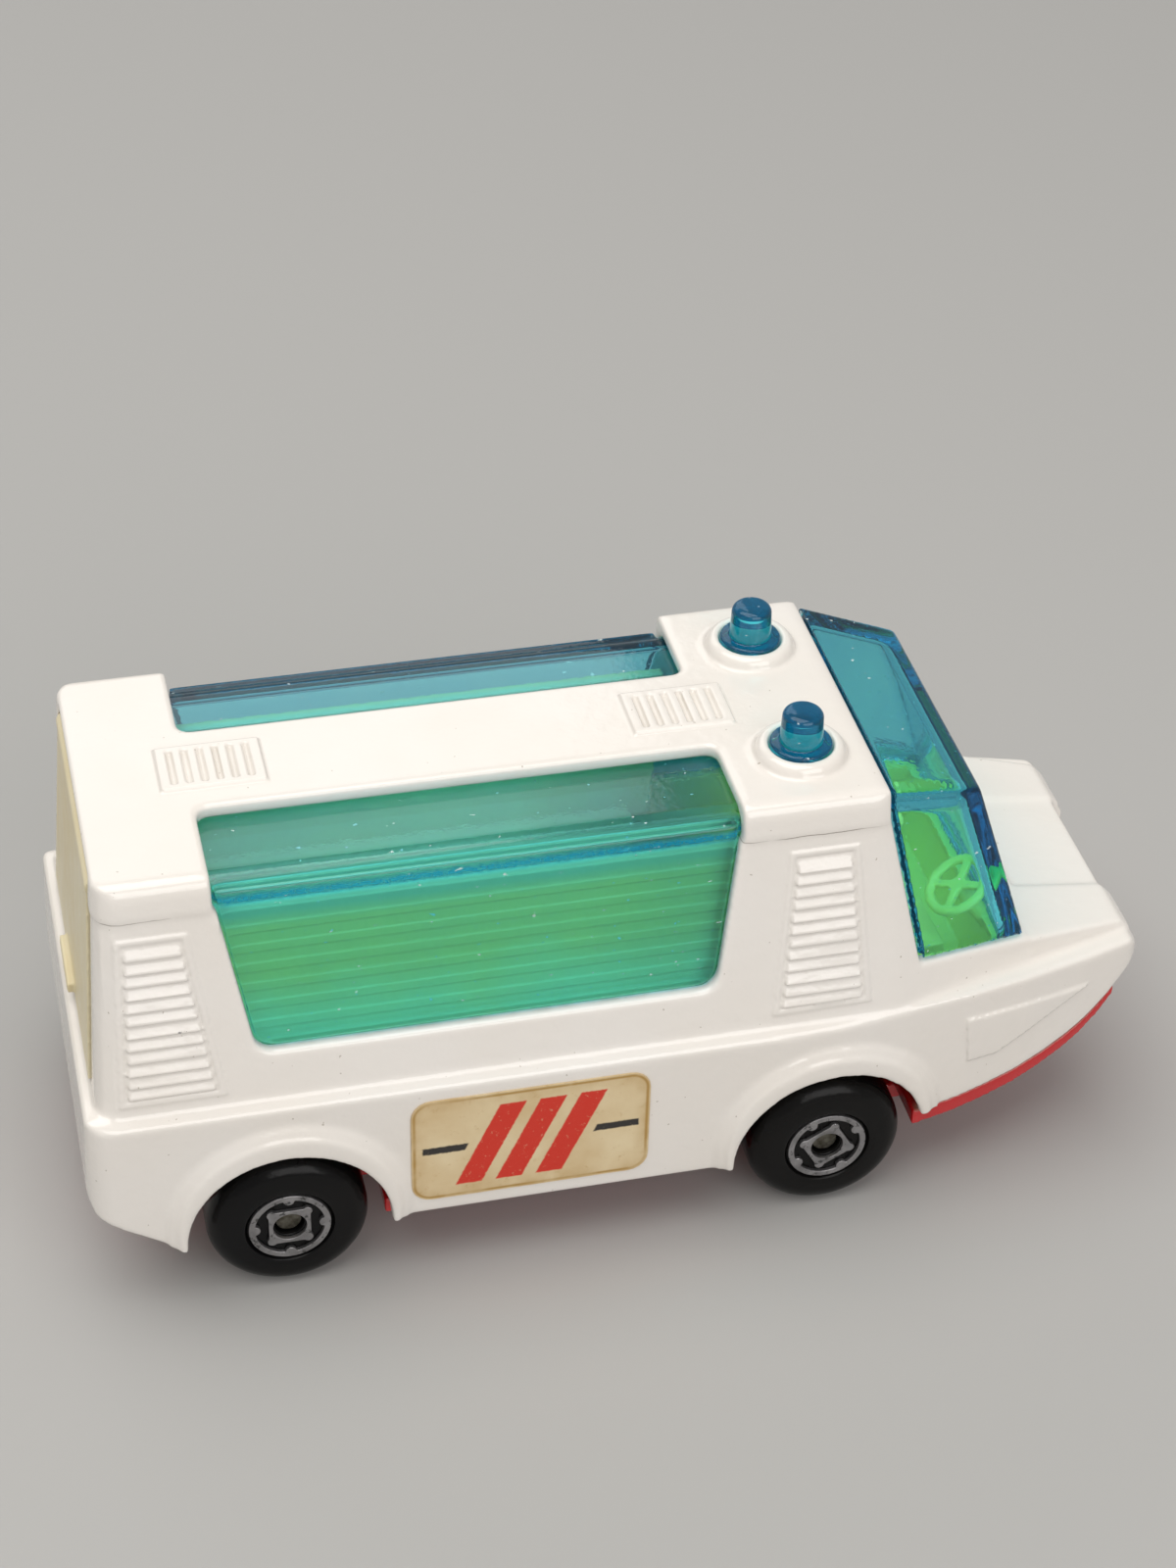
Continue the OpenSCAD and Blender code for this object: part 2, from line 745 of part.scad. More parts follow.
module axle(x) {
    head = 0.45;
    reach = wheel_face - well_depth + 0.05;
    color("silver") {
        bar_y(x, axle_z, axle_radius, -reach, reach);
        bar_y(x, axle_z, well_radius - 0.15, reach, reach + head);
        bar_y(x, axle_z, well_radius - 0.15, -reach - head, -reach);
    }
}

// Axle clip: pegged to the base at one end, its tip over the axle, which it keeps in its slot
module clip(x, way) {
    color([0.2, 0.2, 0.2]) difference() {
        translate([x - (way > 0 ? 1 : clip_length), -clip_half, clip_z])
            cube([clip_length + 1, 2 * clip_half, clip_thickness]);
        translate([x + way * clip_reach, 0, clip_z - 1]) cylinder(h = 3, r = clip_peg + seat_gap);
    }
}

// Puts a wheel's own axis on an axle, its outer face to that side
module at_wheel(x, side) {
    translate([x, side * (wheel_face - wheel_width), axle_z]) rotate([-90 * side, 0, 0]) children();
}

module wheel() {
    w = wheel_width;
    bore = axle_radius + running_gap;
    profile = [
        [bore, 0.3], [2.2, 0.3], [2.4, 0], [wheel_radius, 0], [wheel_radius, w - 0.1], [3.3, w],
        [2.9, w], [2.75, w - hub_depth], [well_radius, w - hub_depth], [well_radius, w - well_depth],
        [bore, w - well_depth]
    ];
    color([0.06, 0.06, 0.06])
        rotate_extrude() polygon(rounded(profile, [0, 0, 0, 0.7, 1.4, 0, 0, 0, 0, 0, 0]));
}

// Raised silver hub pattern: outer ring with four inward lugs, and a square ring with corner studs
module foil(turn) {
    color("silver") translate([0, 0, wheel_width - hub_depth]) rotate([0, 0, turn]) {
        difference() {
            cylinder(h = foil_thickness, r = foil_radius);
            translate([0, 0, -1]) cylinder(h = 3, r = foil_radius - foil_band);
        }
        for (angle = [0 : 90 : 270])
            rotate([0, 0, angle]) translate([foil_radius - foil_band, 0, 0])
                cylinder(h = foil_thickness, r = lug_radius);
        difference() {
            union() {
                intersection() {
                    translate([-square_half, -square_half, 0])
                        cube([2 * square_half, 2 * square_half, foil_thickness]);
                    cylinder(h = foil_thickness, r = square_round);
                }
                for (angle = [45 : 90 : 315])
                    rotate([0, 0, angle]) translate([stud_reach, 0, 0])
                        cylinder(h = foil_thickness, r = stud_radius);
            }
            translate([0, 0, -1]) cylinder(h = 3, r = foil_hole);
        }
    }
}

module label(side) {
    x0 = rear_axle_x + lip_radius + 0.1;
    z0 = sill_height + 1.2;
    outline = [
        [x0, z0], [x0 + label_length, z0], [x0 + label_length, z0 + label_height],
        [x0, z0 + label_height]
    ];
    color([0.85, 0.75, 0.55])
        difference() {
            translate([0, side * (half_width + label_thickness / 2), 0])
                across(label_thickness / 2) polygon(rounded(outline, [1, 1, 1, 1] * label_corner));
            for (x = [rear_axle_x, front_axle_x])
                bar_y(x, lip_z, lip_radius, -far / 2, far / 2);
        }
}

module rivets() {
    color("silver")
        for (post = [[rear_post_x, rear_post_z], [front_post_x, front_post_z]])
            translate([post.x, 0, post.y - boss_floor]) {
                cylinder(h = boss_floor + rivet_depth - 0.3, r = rivet_shank);
                translate([0, 0, -rivet_crown]) cylinder(h = rivet_crown, r = rivet_head);
                translate([0, 0, -2 * rivet_crown])
                    cylinder(h = rivet_crown, r1 = rivet_head - rivet_crown, r2 = rivet_head);
            }
}

body_shell();
baseplate();
glazing();
beacon(-1);  // beacon_right
beacon(1);  // beacon_left
interior();
rear_door();
axle(front_axle_x);  // front_axle
axle(rear_axle_x);  // rear_axle
clip(front_axle_x, -1);  // front_clip
clip(rear_axle_x, 1);  // rear_clip
at_wheel(front_axle_x, -1) wheel();  // wheel_front_right
at_wheel(front_axle_x, 1) wheel();  // wheel_front_left
at_wheel(rear_axle_x, -1) wheel();  // wheel_rear_right
at_wheel(rear_axle_x, 1) wheel();  // wheel_rear_left
at_wheel(front_axle_x, -1) foil(30);  // foil_front_right
at_wheel(front_axle_x, 1) foil(30);  // foil_front_left
at_wheel(rear_axle_x, -1) foil(0);  // foil_rear_right
at_wheel(rear_axle_x, 1) foil(0);  // foil_rear_left
label(-1);  // label_right
label(1);  // label_left
rivets();
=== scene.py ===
import math

import bmesh
import bpy
import numpy as np
from mathutils import Matrix, Vector


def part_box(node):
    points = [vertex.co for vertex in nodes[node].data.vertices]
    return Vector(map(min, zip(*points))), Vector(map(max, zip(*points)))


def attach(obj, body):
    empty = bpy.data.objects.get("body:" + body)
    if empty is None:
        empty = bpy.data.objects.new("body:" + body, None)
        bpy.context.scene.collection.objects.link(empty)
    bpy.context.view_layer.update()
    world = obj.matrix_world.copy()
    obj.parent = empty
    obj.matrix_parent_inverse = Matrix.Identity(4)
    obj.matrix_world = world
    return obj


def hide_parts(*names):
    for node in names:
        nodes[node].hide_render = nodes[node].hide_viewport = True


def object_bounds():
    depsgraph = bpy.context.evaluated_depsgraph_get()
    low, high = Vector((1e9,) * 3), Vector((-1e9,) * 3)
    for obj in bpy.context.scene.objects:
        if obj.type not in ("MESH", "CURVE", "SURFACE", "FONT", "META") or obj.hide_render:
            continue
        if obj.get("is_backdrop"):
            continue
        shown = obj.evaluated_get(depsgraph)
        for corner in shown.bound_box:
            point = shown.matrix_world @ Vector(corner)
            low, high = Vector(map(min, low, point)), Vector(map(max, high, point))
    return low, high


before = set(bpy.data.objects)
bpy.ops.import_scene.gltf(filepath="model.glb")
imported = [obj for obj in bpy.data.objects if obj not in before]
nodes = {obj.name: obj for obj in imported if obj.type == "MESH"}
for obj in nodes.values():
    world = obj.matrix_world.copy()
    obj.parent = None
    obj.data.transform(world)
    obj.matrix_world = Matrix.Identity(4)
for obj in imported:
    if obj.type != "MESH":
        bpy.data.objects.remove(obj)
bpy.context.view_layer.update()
scene = bpy.context.scene

MM = 0.001

# The photograph's camera: its place in millimetres, its turn in degrees, its lens in pixels
EYE = Vector((-39.51, -154.24, 147.52))
AZIMUTH, ELEVATION, ROLL = math.radians(-14.227), math.radians(37.232), math.radians(1.623)
FOCAL_PIXELS, PHOTO_HEIGHT = 3182.87, 1600
SENSOR = 36

# Places on the part, in millimetres
LEDGE_TOP, LEDGE_HALF = 16.05, 13.55
SIDE_LEAN = 0.17
SEAM_HEIGHT = 29.33
PANE_BEND = (29.3, 30.1)
PANE_OUTSIDE = (12.3, 12.5)
LINING_INSIDE = (10.7, 11.1)
LINING_DEPTH = 2.2
WINDOW_END = (7.5, 8)
CAB_START = (8, 14)
AXLES = (("front", 12.8993), ("rear", -22.6007))
WHEEL_RADIUS, WHEEL_WIDTH, WHEEL_INNER = 5.2, 4.0, 10.1
BEACON_X, BEACON_Y = 11.7, 5.9
SIDES = (("right", -1), ("left", 1))


# Camera, floor and light

def add_camera():
    """The photograph's viewpoint, in the part's own frame."""
    back = Vector((
        math.sin(AZIMUTH) * math.cos(ELEVATION),
        -math.cos(AZIMUTH) * math.cos(ELEVATION),
        math.sin(ELEVATION),
    ))
    level = (-back).cross(Vector((0, 0, 1))).normalized()
    upright = back.cross(level)
    right = level * math.cos(ROLL) + upright * math.sin(ROLL)
    up = upright * math.cos(ROLL) - level * math.sin(ROLL)
    data = bpy.data.cameras.new("camera")
    data.sensor_width = SENSOR
    data.lens = SENSOR * FOCAL_PIXELS / PHOTO_HEIGHT
    data.clip_start, data.clip_end = 0.01, 10
    camera = bpy.data.objects.new("camera", data)
    turn = Matrix((right, up, back)).transposed().to_4x4()
    camera.matrix_world = Matrix.Translation(EYE * MM) @ turn
    scene.collection.objects.link(camera)
    scene.camera = camera


def add_light(name, place, target, size, watts, colour):
    data = bpy.data.lights.new(name, "AREA")
    data.shape = "RECTANGLE"
    data.size, data.size_y = size
    data.energy = watts
    data.color = colour
    light = bpy.data.objects.new(name, data)
    light.location = Vector(place)
    light.rotation_euler = (Vector(target) - Vector(place)).to_track_quat("-Z", "Y").to_euler()
    scene.collection.objects.link(light)


def add_stage():
    """A pale floor, lighter where the lamps no longer reach, under three soft lamps and an even sky."""
    mesh = bpy.data.meshes.new("floor")
    reach = 3.0
    corners = [(-reach, -reach, 0), (reach, -reach, 0), (reach, reach, 0), (-reach, reach, 0)]
    mesh.from_pydata(corners, [], [(0, 1, 2, 3)])
    floor = bpy.data.objects.new("floor", mesh)
    scene.collection.objects.link(floor)
    material, shader, tree = new_material("floor_paper")
    away = node(tree, "VectorMath", {0: place_mm(tree)}, operation="LENGTH").outputs["Value"]
    tone = mix(tree, ramp(tree, away, 300, 900), (0.44, 0.435, 0.425, 1), (0.95, 0.94, 0.92, 1))
    tree.links.new(tone, shader.inputs["Base Color"])
    shader.inputs["Roughness"].default_value = 0.75
    mesh.materials.append(material)
    floor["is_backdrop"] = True

    world = bpy.data.worlds.new("studio")
    world.use_nodes = True
    sky = world.node_tree.nodes["Background"]
    sky.inputs["Color"].default_value = (1.0, 0.985, 0.96, 1)
    sky.inputs["Strength"].default_value = 0.36
    scene.world = world
    add_light("overhead", (-0.12, -0.04, 0.55), (0, 0, 0.01), (0.6, 0.5), 2.35, (1.0, 0.985, 0.95))
    add_light("front", (0.15, -0.6, 0.35), (0, 0, 0.02), (0.6, 0.4), 1.7, (1.0, 0.98, 0.97))
    add_light("behind", (-0.15, 0.7, 0.5), (0, 0, 0.02), (0.7, 0.35), 0.8, (1.0, 0.99, 0.97))


# Materials

def new_material(name):
    material = bpy.data.materials.new(name)
    material.use_nodes = True
    tree = material.node_tree
    return material, tree.nodes["Principled BSDF"], tree


def node(tree, kind, inputs=(), **settings):
    """A shader node with its settings, and its inputs set or linked by name or number."""
    made = tree.nodes.new("ShaderNode" + kind)
    for key, value in settings.items():
        setattr(made, key, value)
    for key, value in dict(inputs).items():
        if isinstance(value, bpy.types.NodeSocket):
            tree.links.new(value, made.inputs[key])
        else:
            made.inputs[key].default_value = value
    return made


def place_mm(tree):
    """Where a point lies on its piece, in millimetres."""
    spot = node(tree, "TexCoord").outputs["Object"]
    return node(tree, "VectorMath", {0: spot, 1: (1000, 1000, 1000)}, operation="MULTIPLY").outputs[0]


def noise(tree, spot, size, detail=2.0, roughness=0.5, stretch=None):
    """Noise from 0 to 1 whose blobs are about size millimetres wide."""
    if stretch:
        spot = node(tree, "VectorMath", {0: spot, 1: stretch}, operation="MULTIPLY").outputs[0]
    made = node(tree, "TexNoise", {
        "Vector": spot, "Scale": 1 / size, "Detail": detail, "Roughness": roughness,
    })
    return made.outputs["Fac"]


def ramp(tree, value, low, high, to_low=0.0, to_high=1.0):
    """value mapped from low..high to to_low..to_high, and held at the ends."""
    made = node(tree, "MapRange", {
        "Value": value, "From Min": low, "From Max": high, "To Min": to_low, "To Max": to_high,
    })
    made.clamp = True
    return made.outputs["Result"]


def math_node(tree, operation, a, b=0.0):
    return node(tree, "Math", {0: a, 1: b}, operation=operation).outputs[0]


def plus(tree, a, b):
    return math_node(tree, "ADD", a, b)


def minus(tree, a, b):
    return math_node(tree, "SUBTRACT", a, b)


def times(tree, a, b):
    return math_node(tree, "MULTIPLY", a, b)


def mix(tree, share, a, b):
    """Colour a turning to colour b by share."""
    made = node(tree, "Mix", data_type="RGBA")
    for socket, value in ((made.inputs["Factor"], share), (made.inputs[6], a), (made.inputs[7], b)):
        if isinstance(value, bpy.types.NodeSocket):
            tree.links.new(value, socket)
        else:
            socket.default_value = value
    return made.outputs[2]


def bump(tree, shader, height, depth, strength=1.0):
    """Bumps of depth millimetres on the surface."""
    made = node(tree, "Bump", {"Height": height, "Strength": strength, "Distance": depth * MM})
    tree.links.new(made.outputs["Normal"], shader.inputs["Normal"])


def corner_grime_and_shade(tree, reach, low, high):
    """How deep a point lies in a corner, from 0 in the open to 1, used for painted shade and dirt in
    corners.
    """
    shade = node(tree, "AmbientOcclusion", {"Distance": reach * MM}, samples=8).outputs["AO"]
    return ramp(tree, shade, low, high, 1.0, 0.0)


def enamel(name, colour, aged, chip, seam=None):
    """Gloss enamel over a casting: slow changes of tone, dirt and painted shade in the corners, specks
    and small chips.

    seam is the height, in millimetres, of a parting line whose paint has cracked.
    """
    material, shader, tree = new_material(name)
    spot = place_mm(tree)
    tone = mix(tree, ramp(tree, noise(tree, spot, 14, 3), 0.35, 0.7), colour, aged)
    patches = ramp(tree, noise(tree, spot, 2.5, 4), 0.3, 0.7, 0.2, 0.75)
    # Painted shade in the corners, where occlusion is deep, mixed with patches of brown dirt.
    corner_dirt_and_shade = times(tree, corner_grime_and_shade(tree, 0.7, 0.35, 0.85), patches)
    tone = mix(tree, corner_dirt_and_shade, tone, (0.42, 0.36, 0.27, 1))
    specks = ramp(tree, noise(tree, spot, 0.36, 1), 0.785, 0.8)
    tone = mix(tree, times(tree, specks, 0.55), tone, (0.3, 0.24, 0.17, 1))
    edges = ramp(tree, node(tree, "NewGeometry").outputs["Pointiness"], 0.56, 0.6)
    bare = times(tree, edges, ramp(tree, noise(tree, spot, 1.3, 5, 0.7), 0.66, 0.69))
    tone = mix(tree, bare, tone, chip)
    if seam:
        parts = node(tree, "SeparateXYZ", {0: spot})
        wander = ramp(tree, noise(tree, spot, 1.5, 3), 0, 1, -0.12, 0.12)
        off = math_node(tree, "ABSOLUTE", minus(tree, plus(tree, parts.outputs["Z"], wander), seam))
        broken = ramp(tree, noise(tree, spot, 4, 3), 0.42, 0.56)
        line = times(tree, ramp(tree, off, 0.015, 0.05, 1, 0), broken)
        tone = mix(tree, times(tree, line, 0.75), tone, (0.16, 0.12, 0.09, 1))
    tree.links.new(tone, shader.inputs["Base Color"])
    sheen = ramp(tree, noise(tree, spot, 3.5, 4), 0.3, 0.75, 0.09, 0.2)
    tree.links.new(sheen, shader.inputs["Roughness"])
    shader.inputs["Specular IOR Level"].default_value = 0.6
    shader.inputs["Coat Weight"].default_value = 0.35
    shader.inputs["Coat Roughness"].default_value = 0.06
    peel = plus(tree, noise(tree, spot, 1.1, 2), times(tree, noise(tree, spot, 0.3, 1), 0.15))
    bump(tree, shader, peel, 0.035)
    return material


def clear_plastic(name, absorb, density, roughness, tint, cloud, band=None):
    """Tinted clear plastic: colour deepens with its thickness; fine skin, scratches and dust.

    cloud is the share of light that the plastic itself gives back, in its own blue.
    band gives the heights, in millimetres, of a coarser strip along the bend of the panes, with a painted
    glint of milky blue along it.
    """
    material, shader, tree = new_material(name)
    spot = place_mm(tree)
    shader.inputs["IOR"].default_value = 1.49
    scratch = noise(tree, spot, 0.1, 1, stretch=(0.1, 0.35, 1.0))
    haze = ramp(tree, noise(tree, spot, 5, 4), 0.35, 0.75, roughness, roughness * 2.5)
    rough = plus(tree, haze, ramp(tree, scratch, 0.77, 0.8, 0.0, 0.2))
    milky = ramp(tree, noise(tree, spot, 6, 3), 0.3, 0.7, cloud, cloud * 0.5)
    dust = ramp(tree, noise(tree, spot, 0.3, 2, stretch=(0.5, 0.7, 1.0)), 0.725, 0.75, 0.0, 0.7)
    own = mix(tree, ramp(tree, dust, 0, 0.5), (0.004, 0.32, 0.55, 1), (0.7, 0.78, 0.76, 1))
    milky = plus(tree, milky, dust)
    skin = plus(tree, noise(tree, spot, 0.45, 2), times(tree, noise(tree, spot, 2.5, 2), 0.6))
    skin = plus(tree, skin, ramp(tree, scratch, 0.76, 0.82, 0.0, 0.15))
    if band:
        parts = node(tree, "SeparateXYZ", {0: spot})
        edge = plus(tree, parts.outputs["Z"], ramp(tree, noise(tree, spot, 0.5, 3), 0, 1, -0.14, 0.14))
        low, high = band
        # The strip's extra milky blue is painted light, standing for the light that the bend refracts;
        # its coarse skin and roughness are the plastic's own.
        strip = times(tree, ramp(tree, edge, low, low + 0.3), ramp(tree, edge, high - 0.3, high, 1, 0))
        strip = times(tree, strip, ramp(tree, across_at(tree, parts), *PANE_OUTSIDE))
        strip = times(tree, strip, ramp(tree, parts.outputs["X"], *WINDOW_END, 1, 0))
        sparkle = ramp(tree, noise(tree, spot, 0.28, 3), 0.35, 0.6, 0.8, 1)
        strip = times(tree, strip, sparkle)
        milky = math_node(tree, "MAXIMUM", milky, times(tree, strip, 0.62))
        rough = plus(tree, rough, times(tree, strip, 0.15))
        coarse = times(tree, noise(tree, spot, 0.22, 2), times(tree, strip, 2.5))
        skin = plus(tree, skin, coarse)
    shader.inputs["Base Color"].default_value = tint
    shader.inputs["Transmission Weight"].default_value = 1.0
    tree.links.new(rough, shader.inputs["Roughness"])
    bump(tree, shader, skin, 0.004)
    given_back = node(tree, "BsdfDiffuse", {"Color": own})
    surface = node(tree, "MixShader", {0: milky, 1: shader.outputs[0], 2: given_back.outputs[0]})
    let_lamps_through(tree, surface)
    inside = node(tree, "VolumeAbsorption", {"Color": absorb, "Density": density})
    tree.links.new(inside.outputs["Volume"], tree.nodes["Material Output"].inputs["Volume"])
    return material


def across_at(tree, parts):
    """Distance from the middle, brought down along the leaning sides to the belt ledge."""
    rise = minus(tree, parts.outputs["Z"], LEDGE_TOP)
    return plus(tree, math_node(tree, "ABSOLUTE", parts.outputs["Y"]), times(tree, rise, SIDE_LEAN))


def let_lamps_through(tree, shader):
    """Shadow rays pass the clear plastic almost whole, so what lies behind it is lit."""
    clear = node(tree, "BsdfTransparent", {"Color": (0.96, 0.96, 0.96, 1)})
    path = node(tree, "LightPath").outputs["Is Shadow Ray"]
    both = node(tree, "MixShader", {0: path, 1: shader.outputs[0], 2: clear.outputs[0]})
    tree.links.new(both.outputs[0], tree.nodes["Material Output"].inputs["Surface"])


def moulding(name, colour, aged, roughness, grain):
    """Opaque moulded plastic with a fine skin and slow changes of tone."""
    material, shader, tree = new_material(name)
    spot = place_mm(tree)
    tone = mix(tree, ramp(tree, noise(tree, spot, 9, 4), 0.3, 0.7), colour, aged)
    # Painted shade: a darker copy of the aged colour in the corners.
    corner_dirt_and_shade = times(tree, corner_grime_and_shade(tree, 0.8, 0.3, 0.9), 0.45)
    tone = mix(tree, corner_dirt_and_shade, tone, tuple(0.35 * c for c in aged[:3]) + (1,))
    tree.links.new(tone, shader.inputs["Base Color"])
    sheen = ramp(tree, noise(tree, spot, 1.8, 4), 0.3, 0.75, roughness * 0.8, roughness * 1.3)
    tree.links.new(sheen, shader.inputs["Roughness"])
    bump(tree, shader, noise(tree, spot, grain, 3), 0.02)
    return material


def cabin_plastic(name):
    """Pale yellow moulding; behind the cab, painted light makes it greener on the inner faces and paler
    and greener low down, painted shade makes it darker green near the roof and darker towards the cab,
    and painted shade and dirt darken its corners.
    """
    material, shader, tree = new_material(name)
    spot = place_mm(tree)
    parts = node(tree, "SeparateXYZ", {0: spot})
    height = plus(tree, parts.outputs["Z"], ramp(tree, noise(tree, spot, 7, 3), 0, 1, -2.5, 2.5))
    # Painted light on the lower lining: paler and greener low down, behind the cab.
    painted_light_low = ramp(tree, height, 18.5, 23, 0.9, 0.1)
    inner = ramp(tree, across_at(tree, parts), *LINING_INSIDE, 1, 0)
    rear = ramp(tree, parts.outputs["X"], *CAB_START, 1, 0)
    painted_light_low = times(tree, painted_light_low, rear)
    tone = mix(tree, rear, (1.0, 0.92, 0.16, 1), (0.85, 0.62, 0.11, 1))
    tone = mix(tree, painted_light_low, tone, (0.58, 0.77, 0.37, 1))
    # Painted light on the inner faces: lighter and greener.
    tone = mix(tree, times(tree, inner, rear), tone, (0.54, 0.84, 0.54, 1))
    # Painted shade under the roof: darker green near the top of the lining.
    top = times(tree, ramp(tree, parts.outputs["Z"], 26.6, 27.6, 0, 0.7), rear)
    tone = mix(tree, top, tone, (0.12, 0.45, 0.32, 1))
    shaded = times(tree, ramp(tree, parts.outputs["X"], -3, 7, 0, 0.5), rear)
    tone = mix(tree, shaded, tone, (0.2, 0.28, 0.1, 1))
    # Painted shade and dirt in the corners.
    corner_dirt_and_shade = times(tree, corner_grime_and_shade(tree, 0.8, 0.3, 0.9), 0.25)
    tone = mix(tree, corner_dirt_and_shade, tone, (0.45, 0.42, 0.1, 1))
    tree.links.new(tone, shader.inputs["Base Color"])
    sheen = ramp(tree, noise(tree, spot, 1.8, 4), 0.3, 0.75, 0.35, 0.5)
    tree.links.new(sheen, shader.inputs["Roughness"])
    bump(tree, shader, noise(tree, spot, 0.4, 3), 0.02)
    return material


def bare_metal(name, colour, stain, roughness):
    """Dulled metal with stains and fine marks."""
    material, shader, tree = new_material(name)
    spot = place_mm(tree)
    tone = mix(tree, ramp(tree, noise(tree, spot, 0.5, 4), 0.4, 0.68), colour, stain)
    tree.links.new(tone, shader.inputs["Base Color"])
    shader.inputs["Metallic"].default_value = 1.0
    sheen = ramp(tree, noise(tree, spot, 0.2, 3), 0.3, 0.7, roughness * 0.75, roughness * 1.3)
    tree.links.new(sheen, shader.inputs["Roughness"])
    bump(tree, shader, noise(tree, spot, 0.16, 3), 0.02)
    return material


def worn_foil(name):
    """Hot-stamped silver foil, scuffed through to the black plastic in places."""
    material, shader, tree = new_material(name)
    spot = place_mm(tree)
    worn = ramp(tree, noise(tree, spot, 0.42, 5, 0.65), 0.56, 0.64)
    dulled = ramp(tree, noise(tree, spot, 0.9, 3), 0.3, 0.7)
    tone = mix(tree, dulled, (0.4, 0.39, 0.4, 1), (0.24, 0.235, 0.24, 1))
    tree.links.new(mix(tree, worn, tone, (0.03, 0.03, 0.03, 1)), shader.inputs["Base Color"])
    tree.links.new(ramp(tree, worn, 0, 1, 0.9, 0.05), shader.inputs["Metallic"])
    sheen = ramp(tree, noise(tree, spot, 0.25, 3), 0.3, 0.7, 0.28, 0.5)
    tree.links.new(sheen, shader.inputs["Roughness"])
    bump(tree, shader, noise(tree, spot, 0.2, 3), 0.03)
    return material


def aged_label(name, middle, side):
    """Cream paper gone brown at its edges, printed with slanted red bars and a thin dark stripe."""
    half_length, half_height, corner = 7.7, 4.2, 1.3
    material, shader, tree = new_material(name)
    spot = place_mm(tree)
    parts = node(tree, "SeparateXYZ", {0: spot})
    along = times(tree, minus(tree, parts.outputs["X"], middle.x), -side)
    rise = minus(tree, parts.outputs["Z"], middle.z)
    wobble = times(tree, minus(tree, noise(tree, spot, 0.25, 3), 0.5), 0.12)

    def within(value, half, soft=0.05):
        away = plus(tree, math_node(tree, "ABSOLUTE", value), wobble)
        return ramp(tree, away, half - soft, half + soft, 1, 0)

    ageing = ramp(tree, noise(tree, spot, 3, 5), 0.3, 0.72)
    paper = mix(tree, ageing, (0.80, 0.66, 0.42, 1), (0.68, 0.51, 0.28, 1))
    over_x = minus(tree, math_node(tree, "ABSOLUTE", along), half_length - corner)
    over_z = minus(tree, math_node(tree, "ABSOLUTE", rise), half_height - corner)
    out_x = math_node(tree, "MAXIMUM", over_x, 0.0)
    out_z = math_node(tree, "MAXIMUM", over_z, 0.0)
    reach = math_node(tree, "SQRT", plus(tree, times(tree, out_x, out_x), times(tree, out_z, out_z)))
    reach = plus(tree, reach, math_node(tree, "MINIMUM", math_node(tree, "MAXIMUM", over_x, over_z), 0.0))
    rim = ramp(tree, reach, corner - 1.1, corner - 0.2)
    rim = times(tree, rim, ramp(tree, noise(tree, spot, 1.6, 4), 0.3, 0.65))
    paper = mix(tree, times(tree, rim, 0.6), paper, (0.5, 0.32, 0.12, 1))
    line = ramp(tree, reach, corner - 0.32, corner - 0.22)
    line = times(tree, line, ramp(tree, reach, corner - 0.14, corner - 0.06, 1, 0))
    line = times(tree, line, ramp(tree, noise(tree, spot, 2.2, 3), 0.3, 0.55, 0.2, 0.9))
    paper = mix(tree, line, paper, (0.42, 0.24, 0.05, 1))
    stains = ramp(tree, noise(tree, spot, 0.8, 4, 0.65), 0.6, 0.72, 0, 0.5)
    paper = mix(tree, stains, paper, (0.5, 0.3, 0.1, 1))
    ink = ramp(tree, noise(tree, spot, 0.35, 5, 0.7), 0.3, 0.4, 0.55, 1.0)
    slanted = minus(tree, along, times(tree, rise, 0.45))
    tall = within(rise, 3.2)
    bars = None
    for start in (-2.6, 0.0, 2.6):
        bar = times(tree, within(minus(tree, slanted, start), 0.85), tall)
        bars = bar if bars is None else math_node(tree, "MAXIMUM", bars, bar)
    tone = mix(tree, times(tree, bars, ink), paper, (0.66, 0.03, 0.012, 1))
    outside = ramp(tree, math_node(tree, "ABSOLUTE", slanted), 4.1, 4.2)
    stripe = times(tree, times(tree, within(rise, 0.28), within(along, 7.0)), outside)
    tone = mix(tree, times(tree, stripe, ink), tone, (0.025, 0.022, 0.02, 1))
    tree.links.new(tone, shader.inputs["Base Color"])
    tree.links.new(ramp(tree, noise(tree, spot, 2, 4), 0.3, 0.7, 0.3, 0.5), shader.inputs["Roughness"])
    bump(tree, shader, noise(tree, spot, 0.5, 4), 0.02)
    return material


# Pieces

def put(name, mesh, body, replaced, material):
    """A finished piece in place of CAD nodes."""
    piece = bpy.data.objects.new(name, mesh)
    scene.collection.objects.link(piece)
    mesh.materials.clear()
    mesh.materials.append(material)
    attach(piece, body)
    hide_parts(*replaced)
    return piece


def applied(work):
    """The object's mesh with its modifiers applied; the object itself is removed."""
    bpy.context.view_layer.update()
    made = bpy.data.meshes.new_from_object(work.evaluated_get(bpy.context.evaluated_depsgraph_get()))
    bpy.data.objects.remove(work)
    return made


def smoothed(mesh, rounds, keep=None):
    """The mesh with its edges relaxed; keep(points) tells which points stay as they are."""
    if not rounds:
        return mesh
    work = bpy.data.objects.new("work", mesh)
    scene.collection.objects.link(work)
    smooth = work.modifiers.new("smooth", "SMOOTH")
    smooth.factor = 0.5
    smooth.iterations = rounds
    if keep:
        points = np.empty(3 * len(mesh.vertices), np.float32)
        mesh.vertices.foreach_get("co", points)
        free = np.flatnonzero(~keep(points.reshape(-1, 3)))
        work.vertex_groups.new(name="free").add(free.tolist(), 1.0, "REPLACE")
        smooth.vertex_group = "free"
    return applied(work)


